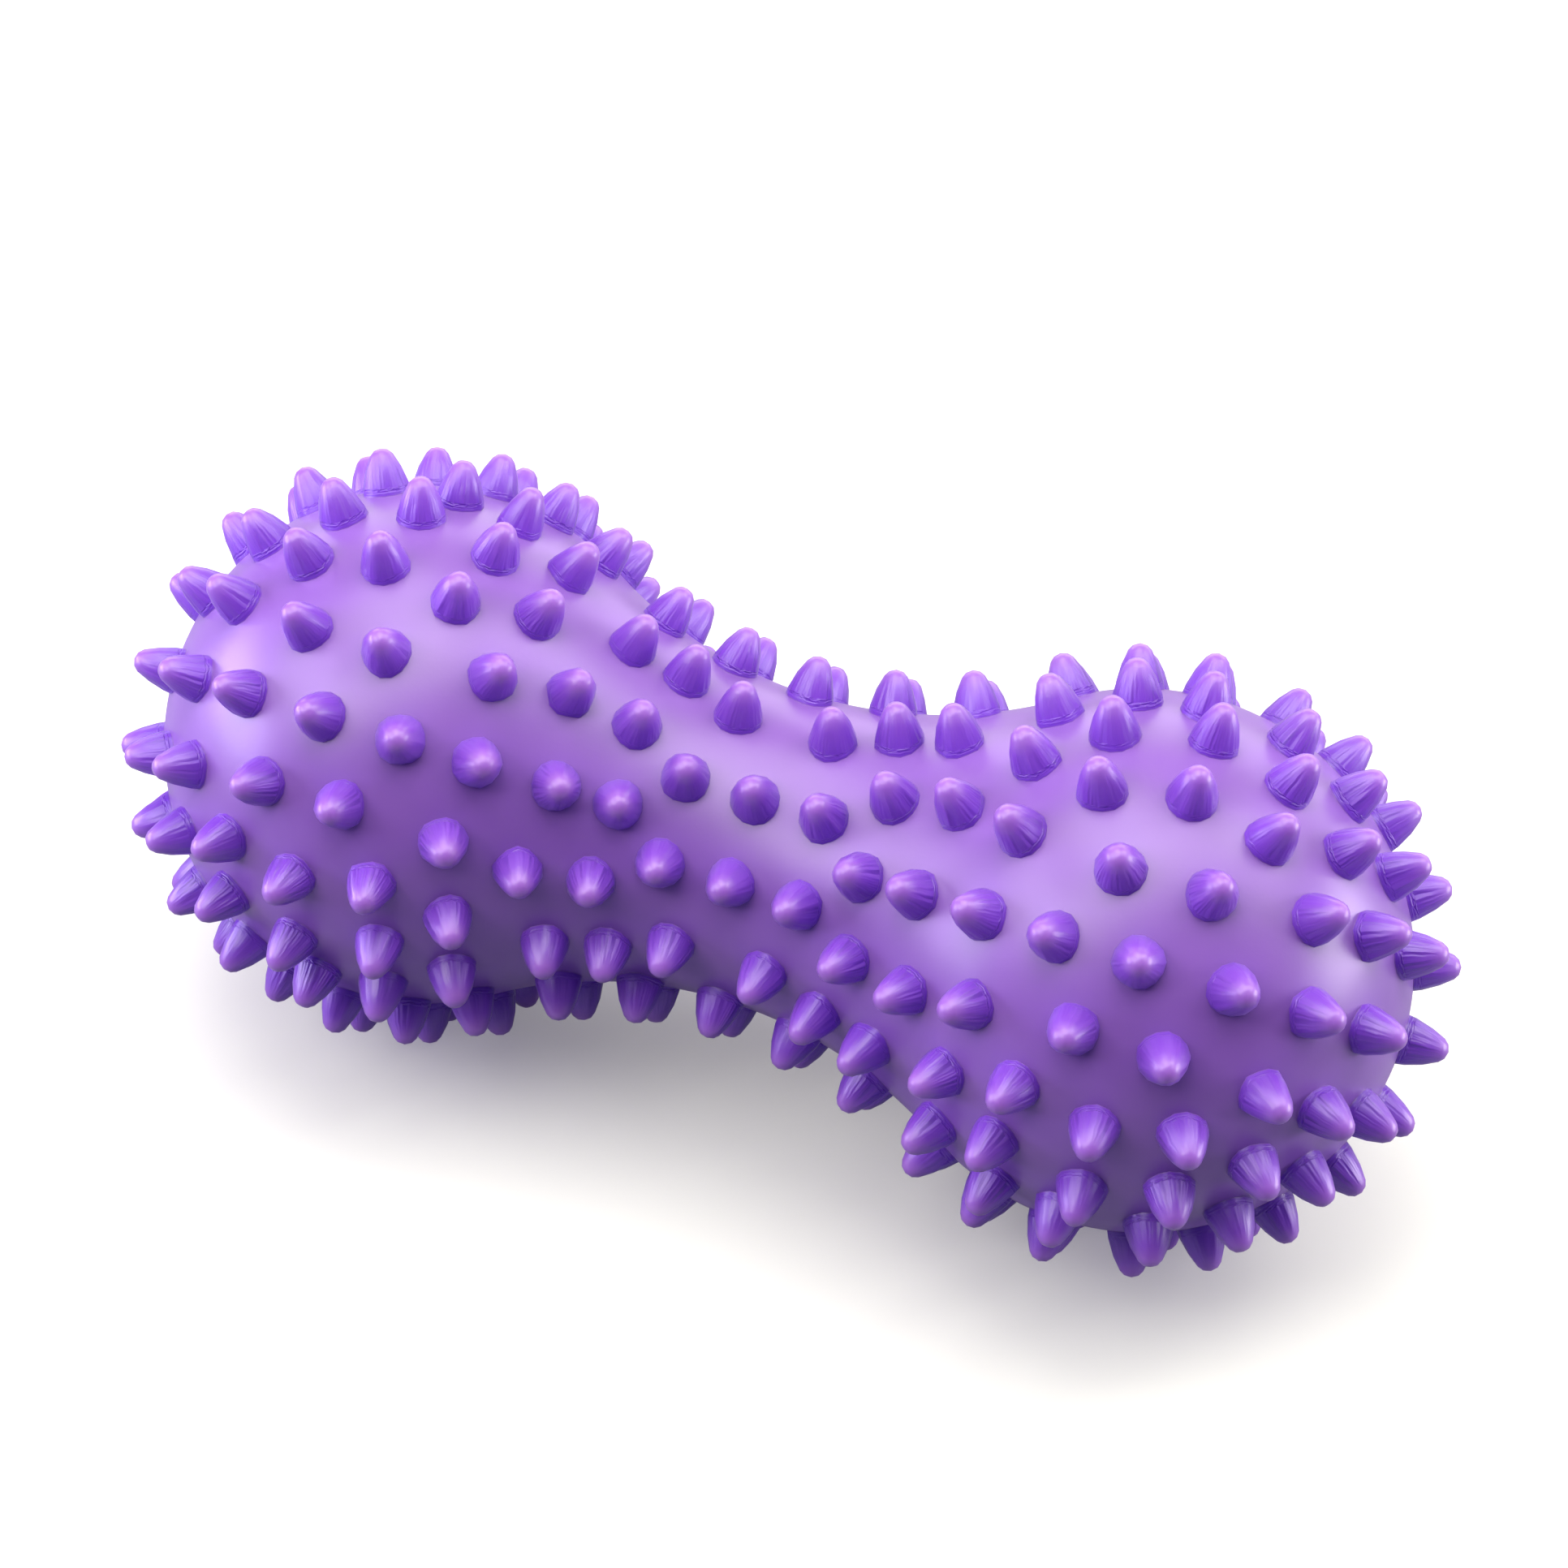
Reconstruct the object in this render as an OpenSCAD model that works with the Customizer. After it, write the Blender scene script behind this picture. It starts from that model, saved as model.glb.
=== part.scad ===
// Spiky massage roller: two balls joined by a waist, with round-tipped spikes all over.
// It lies on its side: the long axis is X, the floor is Z = 0 and the origin is under its middle.

/* [Body] */
// diameter of each ball, without its spikes
ball_d = 60; // [54:1:70]
// distance between the centres of the two balls
ball_gap = 86; // [78:1:100]
// diameter of the waist, without its spikes
waist_d = 36; // [32:1:42]

/* [Spikes] */
// height of a spike above the skin
spike_h = 5; // [3:0.25:5.5]
// diameter of a spike where it leaves the skin
spike_d = 5.6; // [5:0.1:6.2]
// radius of a spike's round tip
tip_r = 1.55; // [0.8:0.05:1.65]

/* [Lie] */
// height angle of the front row of spikes, seen from the near side
front_row_turn = 45; // [0:1:90]

/* [Hidden] */

ball_r = ball_d / 2;
waist_r = waist_d / 2;
half_gap = ball_gap / 2;
colour = [0.52, 0.32, 0.82];

// The waist is a hollow curve that runs smoothly into both balls, and ends just under their skin.
meet_r = ball_r - 0.01;
hollow_r = (half_gap * half_gap + waist_r * waist_r - meet_r * meet_r) / (2 * (meet_r - waist_r));
hollow_z = waist_r + hollow_r;
hollow_turn = asin(half_gap / (hollow_r + meet_r));
join_x = hollow_r * sin(hollow_turn);
join_z = hollow_z - hollow_r * cos(hollow_turn);

// Lengths along the skin, from the middle to where the hollow curve ends and to the end of a ball.
hollow_len = hollow_r * hollow_turn * PI / 180;
skin_len = hollow_len + ball_r * (90 + hollow_turn) * PI / 180;

// A spike is a short straight foot, a flank that bulges out in an arc, and a round tip. The foot leans
// in by this turn. The arc starts this much outside the foot, so that the two cross at a small
// height, and ends just under the tip.
foot_lean = 8;
foot_step = 0.03;
tip_z = spike_h - tip_r;
under_r = 0.985 * tip_r;
arc_start = spike_d / 2 + foot_step;
flank_r = (arc_start * arc_start + tip_z * tip_z - under_r * under_r)
    / (2 * (arc_start * cos(foot_lean) - tip_z * sin(foot_lean) - under_r));
flank_x = arc_start - flank_r * cos(foot_lean);
flank_z = -flank_r * sin(foot_lean);
touch_z = flank_z + flank_r * sin(atan2(tip_z - flank_z, -flank_x));
// The foot goes on below the skin as far as this, so that each spike grows out of the body.
root = 0.6;

// The spikes stand in bands round the roller. Each band gives how many columns a full turn holds,
// the first column used, and how far along a 92 mm skin each column's spike is from the middle.
// The columns listed run from the front row to the side, and the other quarters mirror them.
pattern_len = 92;
none = undef;
bands = [
    [12, 0.5, [0, 5.5, 0]],
    [12, 0.5, [8]],
    [14, 0, [14, 15, 12.5, 9.5]],
    [14, 0, [21, 23, 19.5, 19]],
    [18, 0, [30, 31.5, 30, 30, 29.5]],
    [22, 0, [38.5, none, 38.5, 37.5, 38, 37]],
    [22, 1, [43, none, none, 45.5, 44.5]],
    [20, 0, [47.5, none, 47.5, 47.5]],
    [21, 0, [57.5, 52.5, 56.5, 56.5, 55]],
    [4, 1, [53]],
    [16, 0, [67, 64, 65, 63.5, 60.5]],
    [12, 0, [76, 72, 72, 68.5]],
    [8, 1, [79.5, 76.5]],
    [4, 1, [84]],
];

// One quarter's spikes as [turn from the front row, length along the skin].
quarter = [
    for (band = bands)
        for (i = [0 : len(band[2]) - 1])
            if (band[2][i] != none)
                [(band[1] + i) * 360 / band[0], band[2][i] * skin_len / pattern_len]
];

// The turns that mirror one quarter's turn, each once.
function turns(t) = t == 0 ? [0, 180] : t == 90 ? [90, -90] : [t, -t, 180 - t, t - 180];
// Both ends, or only the middle.
function ends(s) = s == 0 ? [1] : [1, -1];

all_spikes = [
    for (q = quarter)
        for (t = turns(q[0]))
            for (e = ends(q[1]))
                [t, q[1], e]
];

// At a length s along the skin: how the spike leans to the end, its place on the axis, its radius.
function skin_lean(s) =
    s < hollow_len
        ? -s / hollow_r * 180 / PI
        : (s - hollow_len) / ball_r * 180 / PI - hollow_turn;
function skin_x(s) =
    s < hollow_len
        ? -hollow_r * sin(skin_lean(s))
        : half_gap + ball_r * sin(skin_lean(s));
function skin_z(s) =
    s < hollow_len
        ? hollow_z - hollow_r * cos(skin_lean(s))
        : ball_r * cos(skin_lean(s));

// How far below the axis a spike's round tip reaches, for a turn that counts from straight up.
function reach(turn, s) = tip_r - (skin_z(s) + tip_z * cos(skin_lean(s))) * cos(turn);
front_turn = 90 - front_row_turn;
axis_z = max([for (p = all_spikes) reach(front_turn - p[0], p[1])]);

// half of the body's outline, with the axis along Y
module half_outline() {
    difference() {
        square([join_z, join_x]);
        translate([hollow_z, 0])
            circle(hollow_r, $fn = 240);
    }
    intersection() {
        translate([0, half_gap])
            circle(ball_r, $fn = 120);
        translate([0, half_gap - ball_r])
            square([ball_r, ball_d]);
    }
}

module body() {
    rotate([0, 90, 0])
        rotate_extrude($fn = 96) {
            half_outline();
            mirror([0, 1])
                half_outline();
        }
}

// one spike that stands on the origin
module spike() {
    rotate_extrude($fn = 24) {
        intersection() {
            translate([flank_x, flank_z])
                circle(flank_r, $fn = 72);
            polygon([
                [0, -root],
                [spike_d / 2 + root * tan(foot_lean), -root],
                [spike_d / 2 - touch_z * tan(foot_lean), touch_z],
                [0, touch_z],
            ]);
        }
        intersection() {
            translate([0, tip_z])
                circle(tip_r, $fn = 24);
            translate([0, tip_z - tip_r])
                square([tip_r, 2 * tip_r]);
        }
    }
}

// a spike that stands on the skin, at a length s along it, on the +X or -X end
module spike_at(s, end) {
    translate([end * skin_x(s), 0, skin_z(s)])
        rotate([0, end * skin_lean(s), 0])
            spike();
}

module roller() {
    color(colour)
        translate([0, 0, axis_z])
            union() {
                rotate([front_turn, 0, 0])
                    body();
                for (p = all_spikes)
                    rotate([front_turn - p[0], 0, 0])
                        spike_at(p[1], p[2]);
                for (end = [1, -1])
                    spike_at(skin_len, end);
            }
}

roller();
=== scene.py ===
import math
import random

import bmesh
import bpy
from mathutils import Matrix, Vector


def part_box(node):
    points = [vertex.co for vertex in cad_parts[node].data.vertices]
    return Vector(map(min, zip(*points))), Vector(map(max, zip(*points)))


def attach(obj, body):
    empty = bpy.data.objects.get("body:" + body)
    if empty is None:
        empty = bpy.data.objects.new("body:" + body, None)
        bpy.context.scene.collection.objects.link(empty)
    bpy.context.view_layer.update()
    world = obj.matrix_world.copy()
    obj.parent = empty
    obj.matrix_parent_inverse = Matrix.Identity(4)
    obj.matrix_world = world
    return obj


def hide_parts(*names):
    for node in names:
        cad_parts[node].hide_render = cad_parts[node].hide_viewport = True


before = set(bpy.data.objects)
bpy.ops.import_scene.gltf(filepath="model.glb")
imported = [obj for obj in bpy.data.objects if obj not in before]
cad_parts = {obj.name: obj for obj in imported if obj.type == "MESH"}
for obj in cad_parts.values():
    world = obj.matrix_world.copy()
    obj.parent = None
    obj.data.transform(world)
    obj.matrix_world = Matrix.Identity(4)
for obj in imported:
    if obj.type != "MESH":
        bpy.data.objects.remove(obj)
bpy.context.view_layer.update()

# Skin of the two balls and the waist.
# The real one is a single hollow moulding in soft violet PVC, sealed all round and full of air.
# Its outline is a hollow curve at the waist that runs into a round ball at each end.
lowest, highest = (Vector(corner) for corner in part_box("roller"))
middle = (lowest + highest) / 2
ball_r = 0.030
half_gap = 0.043
waist_r = 0.018
spike_h = highest.x - half_gap - ball_r

# The hollow curve's radius, the turn at which it meets a ball, and the lengths along the skin from
# the middle of the waist: to that meeting, and to the roller's end.
hollow_r = (half_gap ** 2 + waist_r ** 2 - ball_r ** 2) / (2 * (ball_r - waist_r))
hollow_turn = math.asin(half_gap / (hollow_r + ball_r))
hollow_len = hollow_r * hollow_turn
skin_len = hollow_len + ball_r * (math.pi / 2 + hollow_turn)


def lean_at(s):
    """How far the skin's outward direction leans to the +X end, at a length s along the skin."""
    if s < hollow_len:
        return -s / hollow_r
    return (s - hollow_len) / ball_r - hollow_turn


def skin_at(s):
    """Place along the axis and distance from it, at a length s from the middle of the skin."""
    lean = lean_at(s)
    if s < hollow_len:
        return -hollow_r * math.sin(lean), waist_r + hollow_r - hollow_r * math.cos(lean)
    return half_gap + ball_r * math.sin(lean), ball_r * math.cos(lean)


def spun(points, axis, steps):
    """A mesh spun from an outline's points about an axis through the origin, with faces outwards."""
    mesh = bmesh.new()
    corners = [mesh.verts.new(point) for point in points]
    edges = [mesh.edges.new(pair) for pair in zip(corners, corners[1:])]
    bmesh.ops.spin(
        mesh, geom=corners + edges, axis=axis, cent=(0, 0, 0), dvec=(0, 0, 0),
        angle=2 * math.pi, steps=steps, use_merge=True, use_duplicate=False,
    )
    bmesh.ops.remove_doubles(mesh, verts=mesh.verts, dist=1e-6)
    bmesh.ops.recalc_face_normals(mesh, faces=mesh.faces)
    return mesh


outline_steps = 84
round_steps = 96
outline = []
for i in range(-outline_steps, outline_steps + 1):
    x, z = skin_at(abs(i) / outline_steps * skin_len)
    outline.append((math.copysign(x, i), 0, z))
skin = spun(outline, (1, 0, 0), round_steps)

# Spikes.
# Each is a solid bullet, moulded in one with the skin: nearly straight at its foot, round at its tip.
# Its flank carries faint lobes and pleats, where the soft plastic shrank as it cooled in the mould.
spike_r = 0.00283
tip_r = 0.00155
foot_lean = math.radians(8)
spike_sides = 14
flank_heights = (-0.0006, 0.0008, 0.0027)
tip_climb = math.radians(58)

# The flank is an arc that leaves the foot at its lean and runs into the tip's ball. The mesh has
# three rings on the flank, the lowest sunk in the skin, one where the ball starts and one up on it.
tip_z = spike_h - tip_r
flank_r = (spike_r ** 2 + tip_z ** 2 - tip_r ** 2) / 2
flank_r /= spike_r * math.cos(foot_lean) - tip_z * math.sin(foot_lean) - tip_r
flank_x = spike_r - flank_r * math.cos(foot_lean)
flank_z = -flank_r * math.sin(foot_lean)
tip_start = math.atan2(tip_z - flank_z, -flank_x)
side = []
for height in flank_heights:
    side.append((flank_x + math.sqrt(flank_r ** 2 - (height - flank_z) ** 2), 0, height))
for climb in (tip_start, tip_climb):
    side.append((tip_r * math.cos(climb), 0, tip_z + tip_r * math.sin(climb)))
side.append((0, 0, spike_h))
one_spike = spun(side, (0, 0, 1), spike_sides)
spike_mesh = bpy.data.meshes.new("one spike")
one_spike.to_mesh(spike_mesh)
one_spike.free()

# The spikes stand in bands round the roller: columns in a full turn, the first column used, and how
# far along a 92 mm skin each column's spike is from the middle, or None where a column has none.
# The bands cover a quarter of the turn and half of the length, and the rest mirrors them.
pattern_len = 92
bands = [
    (12, 0.5, [0, 5.5, 0]),
    (12, 0.5, [8]),
    (14, 0, [14, 15, 12.5, 9.5]),
    (14, 0, [21, 23, 19.5, 19]),
    (18, 0, [30, 31.5, 30, 30, 29.5]),
    (22, 0, [38.5, None, 38.5, 37.5, 38, 37]),
    (22, 1, [43, None, None, 45.5, 44.5]),
    (20, 0, [47.5, None, 47.5, 47.5]),
    (21, 0, [57.5, 52.5, 56.5, 56.5, 55]),
    (4, 1, [53]),
    (16, 0, [67, 64, 65, 63.5, 60.5]),
    (12, 0, [76, 72, 72, 68.5]),
    (8, 1, [79.5, 76.5]),
    (4, 1, [84]),
]

# The first column faces the near side, halfway between level and straight up.
first_column_climb = 45


def mirrored_turns(turn):
    """The turns that mirror one quarter's turn, each once."""
    if turn == 0:
        return [0, 180]
    if turn == 90:
        return [90, -90]
    return [turn, -turn, 180 - turn, turn - 180]


places = [(0, skin_len, 1), (0, skin_len, -1)]
for columns, first, lengths in bands:
    for i, length in enumerate(lengths):
        if length is None:
            continue
        s = length * skin_len / pattern_len
        ends = (1, -1) if s > 0 else (1,)
        for turn in mirrored_turns((first + i) * 360 / columns):
            for end in ends:
                places.append((turn, s, end))

# Each spike has a few lobes of its own, cut more inwards than outwards, and is turned at random
# about its own length. Its points keep their place round and up the spike, and how deep its pleats
# are, for the plastic's shader.
lobe_counts = (3, 4, 5)
shallow_lobe, deep_lobe = 0.015, 0.05
lobe_inset = 0.6
faint_fold, strong_fold = 0.35, 1.3
random.seed(7)
spikes = bmesh.new()
own_place = spikes.verts.layers.float_vector.new("own_place")
fold_depth = spikes.verts.layers.float.new("fold_depth")
for turn, s, end in places:
    x, z = skin_at(s)
    place = (
        Matrix.Rotation(math.radians(90 - first_column_climb - turn), 4, "X")
        @ Matrix.Translation((end * x, 0, z))
        @ Matrix.Rotation(end * lean_at(s), 4, "Y")
        @ Matrix.Rotation(random.uniform(0, math.tau), 4, "Z")
    )
    start = len(spikes.verts)
    spikes.from_mesh(spike_mesh)
    spikes.verts.ensure_lookup_table()
    lobes = random.choice(lobe_counts)
    lobe_depth = random.uniform(shallow_lobe, deep_lobe)
    number = random.random()
    folded = random.uniform(faint_fold, strong_fold)
    for vert in spikes.verts[start:]:
        height = vert.co.z
        across = math.atan2(vert.co.y, vert.co.x)
        vert[own_place] = (math.cos(across), math.sin(across), number + max(height, 0) / spike_h)
        vert[fold_depth] = folded
        if height < tip_z:
            vert.co.xy *= 1 + lobe_depth * (math.sin(lobes * across) - lobe_inset)
        vert.co = place @ vert.co

# The skin and its spikes become one closed mesh. Every corner keeps the direction it faced on its
# own part, so that each shades smoothly up to the sharp line where a spike meets the skin.
for part in (skin, spikes):
    part.normal_update()
    facing = part.loops.layers.float_vector.new("facing")
    for face in part.faces:
        for corner in face.loops:
            corner[facing] = corner.vert.normal
feet = [edge for edge in spikes.edges if edge.is_boundary]
bmesh.ops.holes_fill(spikes, edges=feet, sides=0)
bmesh.ops.recalc_face_normals(spikes, faces=spikes.faces)
parts = []
for name, part in (("skin alone", skin), ("spikes alone", spikes)):
    mesh = bpy.data.meshes.new(name)
    part.to_mesh(mesh)
    part.free()
    parts.append(bpy.data.objects.new(name, mesh))
    bpy.context.collection.objects.link(parts[-1])
joining = parts[0].modifiers.new("join", "BOOLEAN")
joining.operation = "UNION"
joining.solver = "MANIFOLD"
joining.object = parts[1]
bpy.context.view_layer.update()
shapes = bpy.context.evaluated_depsgraph_get()
joined = bpy.data.meshes.new_from_object(parts[0].evaluated_get(shapes))
for part in parts:
    bpy.data.objects.remove(part)
joined.name = "massage roller"
joined.shade_smooth()
facing = joined.attributes["facing"]
joined.normals_split_custom_set([Vector(corner.vector).normalized() for corner in facing.data])
joined.attributes.remove(joined.attributes["facing"])
joined.transform(Matrix.Translation(middle))


def skin_radius(x):
    """Distance of the skin from the axis, at a place x along it."""
    x = abs(x)
    if x < hollow_r * math.sin(hollow_turn):
        return waist_r + hollow_r - math.sqrt(hollow_r ** 2 - x * x)
    return math.sqrt(max(ball_r ** 2 - (x - half_gap) ** 2, 0.0))


# How far each point stands above the skin, from 0 on it to 1 at a spike's tip.
rise = joined.attributes.new("rise", "FLOAT", "POINT")
for vert, value in zip(joined.vertices, rise.data):
    point = vert.co - middle
    beyond = abs(point.x) - half_gap
    distance = math.hypot(point.y, point.z)
    if beyond > 0:
        above = math.hypot(beyond, distance) - ball_r
    else:
        above = distance - skin_radius(point.x)
    value.value = min(max(above / spike_h, 0), 1)

roller = bpy.data.objects.new("massage_roller", joined)
bpy.context.collection.objects.link(roller)

# Soft PVC.
# The colour runs right through the plastic. The hollow balls let light through and look paler than the
# solid spikes, a glow that is painted into the skin's colour, and the surface is satin, with a faint
# grain from the mould.
pvc = bpy.data.materials.new("soft violet PVC")
pvc.use_nodes = True
nodes = pvc.node_tree.nodes
links = pvc.node_tree.links
shader = nodes["Principled BSDF"]
shader.inputs["IOR"].default_value = 1.6
shader.inputs["Subsurface Weight"].default_value = 0.3
shader.inputs["Subsurface Radius"].default_value = (0.9, 0.5, 1.0)
shader.inputs["Subsurface Scale"].default_value = 0.003
shader.inputs["Coat Weight"].default_value = 0.5
shader.inputs["Coat Roughness"].default_value = 0.3
shader.inputs["Sheen Weight"].default_value = 0.12
shader.inputs["Sheen Roughness"].default_value = 0.3
shader.inputs["Sheen Tint"].default_value = (0.9, 0.8, 1.0, 1)


def own_value(name):
    """Reads a value that the mesh keeps at each of its points."""
    reader = nodes.new("ShaderNodeAttribute")
    reader.attribute_name = name
    return reader


def ramp(source, stops):
    """Turns a value into a colour, by way of the colours at a few stops."""
    blend = nodes.new("ShaderNodeValToRGB")
    marks = blend.color_ramp.elements
    marks.remove(marks[1])
    marks[0].position, marks[0].color = stops[0]
    for position, colour in stops[1:]:
        marks.new(position).color = colour
    links.new(source, blend.inputs["Fac"])
    return blend.outputs["Color"]


def noise(place, scale, detail):
    """Smooth random shades, read at a place."""
    texture = nodes.new("ShaderNodeTexNoise")
    texture.inputs["Scale"].default_value = scale
    texture.inputs["Detail"].default_value = detail
    links.new(place, texture.inputs["Vector"])
    return texture.outputs["Fac"]


# Paler violet on the skin, painted light for the glow through the thin hollow skin; deepest round a
# spike's foot, painted shade where the spike meets the skin; and a little pinker at its tip, painted
# light where the lamps fall on the tip.
coords = nodes.new("ShaderNodeTexCoord")
height = own_value("rise")
skin_violet_with_painted_glow = (0.29, 0.122, 0.56, 1)
# Painted shade: the deepest violet round each spike's foot.
foot_violet_painted_shade = (0.215, 0.05, 0.66, 1)
flank_violet = (0.27, 0.08, 0.67, 1)
# Painted light: the paler, pinker violet at each spike's tip.
tip_violet_painted_light = (0.38, 0.155, 0.67, 1)
violets = ((0, skin_violet_with_painted_glow), (0.03, foot_violet_painted_shade), (0.65, flank_violet), (1, tip_violet_painted_light))
violet = ramp(height.outputs["Fac"], violets)

# Wide, soft clouds vary the colour and the gloss a little. A colour mix has its factor in socket 0,
# its two colours in 6 and 7, and the mixed colour in its output 2.
clouds = noise(coords.outputs["Object"], scale=55, detail=2)
mottle = nodes.new("ShaderNodeMix")
mottle.data_type = "RGBA"
mottle.blend_type = "MULTIPLY"
mottle.inputs[0].default_value = 0.18
links.new(violet, mottle.inputs[6])
links.new(clouds, mottle.inputs[7])
links.new(mottle.outputs[2], shader.inputs["Base Color"])
smears = nodes.new("ShaderNodeMapRange")
smears.inputs["To Min"].default_value = 0.34
smears.inputs["To Max"].default_value = 0.46
links.new(clouds, smears.inputs["Value"])
links.new(smears.outputs["Result"], shader.inputs["Roughness"])

grain = nodes.new("ShaderNodeBump")
grain.inputs["Strength"].default_value = 0.06
grain.inputs["Distance"].default_value = 0.0002
specks = noise(coords.outputs["Object"], scale=1500, detail=3)
links.new(specks, grain.inputs["Height"])

# The pleats run up each spike's flank and fade before its tip. Places round the spike count for
# more than places up it, so that the noise is drawn out into lines.
stretch = nodes.new("ShaderNodeVectorMath")
stretch.operation = "MULTIPLY"
stretch.inputs[1].default_value = (2.5, 2.5, 0.35)
links.new(own_value("own_place").outputs["Vector"], stretch.inputs[0])
level = nodes.new("ShaderNodeMath")
level.operation = "SUBTRACT"
level.inputs[1].default_value = 0.5
links.new(noise(stretch.outputs["Vector"], scale=1.5, detail=1), level.inputs[0])
black = (0, 0, 0, 1)
grey = (0.8, 0.8, 0.8, 1)
white = (1, 1, 1, 1)
fade = ramp(height.outputs["Fac"], ((0.01, black), (0.05, white), (0.4, grey), (0.85, black)))
faded = nodes.new("ShaderNodeMath")
faded.operation = "MULTIPLY"
links.new(fade, faded.inputs[0])
links.new(own_value("fold_depth").outputs["Fac"], faded.inputs[1])
folds = nodes.new("ShaderNodeMath")
folds.operation = "MULTIPLY"
links.new(level.outputs["Value"], folds.inputs[0])
links.new(faded.outputs["Value"], folds.inputs[1])
pleats = nodes.new("ShaderNodeBump")
pleats.inputs["Strength"].default_value = 0.7
pleats.inputs["Distance"].default_value = 0.0010
links.new(folds.outputs["Value"], pleats.inputs["Height"])
links.new(grain.outputs["Normal"], pleats.inputs["Normal"])
links.new(pleats.outputs["Normal"], shader.inputs["Normal"])
joined.materials.clear()
joined.materials.append(pvc)

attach(roller, "root")
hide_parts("roller")

# Studio.
# A white floor, a metre wide, under large soft lamps in a dim violet room. The camera sees floor and
# room white, with the roller's shadow on the floor. A reflection sees a quarter of the floor's white,
# and any other ray finds it dark, so that little light comes back up and the underside stays deep.
floor_width = 1.0
mirrored_share = 0.25
bpy.ops.mesh.primitive_plane_add(size=floor_width)
floor = bpy.context.object
floor.name = "floor"
paper = bpy.data.materials.new("white paper")
paper.use_nodes = True
nodes = paper.node_tree.nodes
links = paper.node_tree.links
nodes.clear()
output = nodes.new("ShaderNodeOutputMaterial")
seen = nodes.new("ShaderNodeBsdfDiffuse")
seen.inputs["Color"].default_value = (0.85, 0.87, 0.8, 1)
glow = nodes.new("ShaderNodeEmission")
glow.inputs["Strength"].default_value = 0.12
bright = nodes.new("ShaderNodeAddShader")
dim = nodes.new("ShaderNodeBsdfDiffuse")
dim.inputs["Color"].default_value = (0.14, 0.11, 0.22, 1)
path = nodes.new("ShaderNodeLightPath")
choose = nodes.new("ShaderNodeMixShader")
links.new(seen.outputs["BSDF"], bright.inputs[0])
links.new(glow.outputs["Emission"], bright.inputs[1])
mirrored = nodes.new("ShaderNodeMath")
mirrored.operation = "MULTIPLY_ADD"
mirrored.inputs[1].default_value = mirrored_share
links.new(path.outputs["Is Glossy Ray"], mirrored.inputs[0])
links.new(path.outputs["Is Camera Ray"], mirrored.inputs[2])
links.new(mirrored.outputs["Value"], choose.inputs["Fac"])
links.new(dim.outputs["BSDF"], choose.inputs[1])
links.new(bright.outputs["Shader"], choose.inputs[2])
links.new(choose.outputs["Shader"], output.inputs["Surface"])
floor.data.materials.append(paper)

warm = (1, 0.97, 0.9)
rosy = (1, 0.95, 1)
bluish = (0.8, 0.72, 1)


def soft_lamp(name, place, colour, width, depth, power, turn=0):
    """A soft lamp that faces the roller and is then turned about its own beam, in metres and watts."""
    lamp = bpy.data.lights.new(name, "AREA")
    lamp.shape = "RECTANGLE"
    lamp.size = width
    lamp.size_y = depth
    lamp.energy = power
    lamp.color = colour
    stand = bpy.data.objects.new(name, lamp)
    aimed = (middle - Vector(place)).to_track_quat("-Z", "Y").to_matrix().to_4x4()
    stand.matrix_world = (
        Matrix.Translation(place) @ aimed @ Matrix.Rotation(math.radians(turn), 4, "Z")
    )
    bpy.context.collection.objects.link(stand)


soft_lamp("overhead strip", (0.02, -0.09, 0.62), warm, width=1.7, depth=0.22, power=4.6, turn=37)
soft_lamp("top", (-0.16, 0.08, 0.60), warm, width=0.4, depth=0.4, power=1.8)
soft_lamp("back", (-0.10, 0.66, 0.24), warm, width=1.5, depth=0.4, power=4.4)
soft_lamp("high right", (0.42, 0.16, 0.53), warm, width=0.5, depth=0.3, power=1.1)
soft_lamp("high left", (-0.45, -0.25, 0.47), warm, width=0.45, depth=0.25, power=1.5)
soft_lamp("low left", (-0.40, -0.10, 0.10), bluish, width=0.30, depth=0.14, power=1.2)
soft_lamp("low right", (0.62, 0.22, 0.15), rosy, width=0.4, depth=0.25, power=2.4)

world = bpy.data.worlds.new("studio")
world.use_nodes = True
nodes = world.node_tree.nodes
links = world.node_tree.links
nodes.clear()
output = nodes.new("ShaderNodeOutputWorld")
room = nodes.new("ShaderNodeBackground")
room.inputs["Color"].default_value = (0.55, 0.5, 1, 1)
room.inputs["Strength"].default_value = 0.1
wall = nodes.new("ShaderNodeBackground")
wall.inputs["Color"].default_value = (1, 1, 1, 1)
path = nodes.new("ShaderNodeLightPath")
choose = nodes.new("ShaderNodeMixShader")
links.new(path.outputs["Is Camera Ray"], choose.inputs["Fac"])
links.new(room.outputs["Background"], choose.inputs[1])
links.new(wall.outputs["Background"], choose.inputs[2])
links.new(choose.outputs["Shader"], output.inputs["Surface"])
bpy.context.scene.world = world
bpy.context.scene.view_settings.view_transform = "Standard"

# Camera.
# It looks down on the roller from the near side, a little to the right, and is rolled slightly.
aim = Vector((-0.001, 0.0051, 0.0399))
azimuth = math.radians(16.0)
elevation = math.radians(43.2)
roll = math.radians(5.4)
distance = 0.3546
ahead = Vector((
    -math.sin(azimuth) * math.cos(elevation),
    math.cos(azimuth) * math.cos(elevation),
    -math.sin(elevation),
))
eye = bpy.data.cameras.new("camera")
eye.lens = 71.7
eye.sensor_width = 36
eye.clip_start = 0.01
camera = bpy.data.objects.new("camera", eye)
camera.matrix_world = (
    Matrix.Translation(aim - ahead * distance)
    @ ahead.to_track_quat("-Z", "Y").to_matrix().to_4x4()
    @ Matrix.Rotation(roll, 4, "Z")
)
bpy.context.collection.objects.link(camera)
bpy.context.scene.camera = camera
